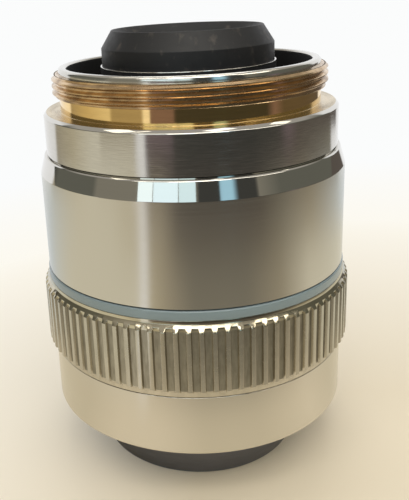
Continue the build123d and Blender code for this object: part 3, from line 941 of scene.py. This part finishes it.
# The table: cream round the object. The camera sees it fade into the white background, and for
# reflected rays its farther parts glow with the room's tones, a painted reflection with painted
# shade in it. Its shadow stays. The distances are in mm, the fade's from a point before the object
# and the others from the axis.
PALE_BACKGROUND = "#fbfcfc"
FADED_TABLE = "#fdf9ee"
TABLE_TONE = "#f1e5cd"
TABLE_REACH = 1500.0
FADE_CENTRE = (22 * MM, -20 * MM, 0)
FADE_START, FADE_END = 24, 100
WHITE_START, WHITE_END = 90, 160
ROOM_START, ROOM_END = 20, 27
TONE_RINGS = (
    (34, 52, low_tones),
    (82, 112, middle_tones),
    (130, 170, far_tones),
    (206, 218, farthest_tones),
)
table_mesh = bmesh.new()
bmesh.ops.create_grid(table_mesh, x_segments=1, y_segments=1, size=TABLE_REACH * MM)
table_data = bpy.data.meshes.new("table")
table_mesh.to_mesh(table_data)
table_mesh.free()
table = bpy.data.objects.new("table", table_data)
bpy.context.scene.collection.objects.link(table)
# Matt painted board: an even cream without a gleam
table_top, tree, table_shader = blank_finish("pale_table", {"Roughness": 0.6})
table_shader.inputs["Base Color"].default_value = linear(TABLE_TONE)
place = add(tree, "TexCoord").outputs["Object"]
path = add(tree, "LightPath")
from_front = add(
    tree, "VectorMath", {"operation": "DISTANCE"}, {0: place, 1: FADE_CENTRE}
).outputs["Value"]
fade = add(
    tree, "MapRange", sockets={"Value": from_front, 1: FADE_START * MM, 2: FADE_END * MM}
).outputs[0]
to_white = add(
    tree, "MapRange", sockets={"Value": from_front, 1: WHITE_START * MM, 2: WHITE_END * MM}
).outputs[0]
from_axis = add(tree, "VectorMath", {"operation": "LENGTH"}, {0: place}).outputs["Value"]
shown = tone_by_azimuth(tree, place, beside_tones)
for start, end, tones in TONE_RINGS:
    farther = add(
        tree, "MapRange", sockets={"Value": from_axis, 1: start * MM, 2: end * MM}
    ).outputs[0]
    tone = tone_by_azimuth(tree, place, tones)
    shown = add(tree, "Mix", OF_COLOURS, {"Factor": farther, 6: shown, 7: tone}).outputs[2]
to_room = add(
    tree, "MapRange", sockets={"Value": from_axis, 1: ROOM_START * MM, 2: ROOM_END * MM}
).outputs[0]
# The room's tones as a glow on the table: painted reflection and painted shade
painted_reflection = add(tree, "Emission", sockets={"Color": shown}).outputs[0]
pale_tone = add(
    tree,
    "Mix",
    OF_COLOURS,
    {"Factor": to_white, 6: linear(FADED_TABLE), 7: linear(PALE_BACKGROUND)},
).outputs[2]
pale = add(tree, "Emission", sockets={"Color": pale_tone}).outputs[0]
surface = table_shader.outputs[0]
for share, ray, over in ((to_room, "Is Glossy Ray", painted_reflection), (fade, "Is Camera Ray", pale)):
    for_ray = add(tree, "Math", {"operation": "MULTIPLY"}, {0: share, 1: path.outputs[ray]})
    surface = add(
        tree, "MixShader", sockets={0: for_ray.outputs[0], 1: surface, 2: over}
    ).outputs[0]
table_out = next(n for n in tree.nodes if n.type == "OUTPUT_MATERIAL")
tree.links.new(surface, table_out.inputs["Surface"])
table_data.materials.append(table_top)

# The room: walls with windows up to a pale ceiling, and a white background for the camera. The
# levels are sines of the elevation.
CEILING_TONE = "#b0aca5"
WALL_TOP, CEILING_START = 0.42, 0.6
world = bpy.data.worlds.new("room")
world.use_nodes = True
room = world.node_tree
bpy.context.scene.world = world
direction = add(room, "TexCoord").outputs["Generated"]
height = add(room, "SeparateXYZ", sockets={0: direction}).outputs[2]
to_ceiling = add(
    room, "MapRange", sockets={"Value": height, 1: WALL_TOP, 2: CEILING_START}
).outputs[0]
walls = tone_by_azimuth(room, direction, wall_tones)
around = add(
    room, "Mix", OF_COLOURS, {"Factor": to_ceiling, 6: walls, 7: linear(CEILING_TONE)}
).outputs[2]
to_camera = add(room, "LightPath").outputs["Is Camera Ray"]
seen = add(
    room, "Mix", OF_COLOURS, {"Factor": to_camera, 6: around, 7: linear(PALE_BACKGROUND)}
).outputs[2]
background = next(n for n in room.nodes if n.type == "BACKGROUND")
room.links.new(seen, background.inputs["Color"])
background.inputs["Strength"].default_value = 1.0

# The lamps: soft ceiling lights, and a window of three panes low at the front left
LAMP_DISTANCE = 420.0
LAMP_AIM_Z = 25.0


def lamp(name, azimuth, elevation, width, height, radiance, colour):
    """A rectangular lamp that faces the object. Its sizes are the angles, in degrees, that it
    fills as the object sees it, and a radiance of 1 is white."""
    data = bpy.data.lights.new(name, "AREA")
    data.shape = "RECTANGLE"
    data.size = 2 * LAMP_DISTANCE * MM * tan(radians(width / 2))
    data.size_y = 2 * LAMP_DISTANCE * MM * tan(radians(height / 2))
    data.energy = radiance * pi * data.size * data.size_y
    data.color = linear(colour)[:3]
    made = bpy.data.objects.new(name, data)
    bpy.context.scene.collection.objects.link(made)
    a, e = radians(azimuth), radians(elevation)
    back = Vector((sin(a) * cos(e), -cos(a) * cos(e), sin(e)))
    made.location = Vector((0, 0, LAMP_AIM_Z * MM)) + back * LAMP_DISTANCE * MM
    made.rotation_euler = (-back).to_track_quat("-Z", "Y").to_euler()
    made.visible_camera = False


lamp("front_ceiling_light", 3, 44, 38, 17, 3.3, "#fffaf0")
lamp("left_ceiling_light", -48, 41, 7, 9, 3.2, "#fffaf0")
lamp("front_high_light", 0, 61, 60, 13, 3.0, "#fffbf2")
lamp("right_ceiling_light", 58, 36, 26, 12, 2.8, "#fff8ea")
lamp("left_overhead_light", -93, 59, 14, 13, 1.5, "#fff8e4")
lamp("left_overhead_strip", -76, 68, 3, 8, 1.5, "#fff8e4")
lamp("right_overhead_light", 47, 73, 14, 9, 1.6, "#fffbf2")
lamp("right_side_light", 99, 51, 9, 10, 1.5, "#fff8e4")
lamp("back_ceiling_light", 172, 64, 34, 18, 2.8, "#fafcff")
lamp("left_pane", -36.8, 15, 10.4, 18, 1.3, "#e2f6ff")
lamp("middle_pane", -22.2, 15, 16.8, 18, 1.27, "#d5f0ff")
lamp("right_pane", -7, 15, 11.3, 18, 1.07, "#d0f1ff")

# The camera stands where the photograph was taken from, by a fit to the object's circular edges.
# The shift is that of the photograph's crop.
CAMERA_PLACE = Vector((-5.595, -84.77, 56.03))
CAMERA_TILT = radians(72.983)
CAMERA_ROLL = radians(-2.928)
camera_data = bpy.data.cameras.new("camera")
camera_data.lens = 51.905
camera_data.sensor_width = 36.0
camera_data.shift_x = 0.1154
camera_data.shift_y = -0.0904
camera_data.clip_start = 1 * MM
camera_data.clip_end = 20.0
camera = bpy.data.objects.new("camera", camera_data)
bpy.context.scene.collection.objects.link(camera)
camera.matrix_world = (
    Matrix.Translation(CAMERA_PLACE * MM)
    @ Matrix.Rotation(CAMERA_TILT, 4, "X")
    @ Matrix.Rotation(CAMERA_ROLL, 4, "Z")
)
bpy.context.scene.camera = camera
bpy.context.scene.view_settings.view_transform = "Standard"
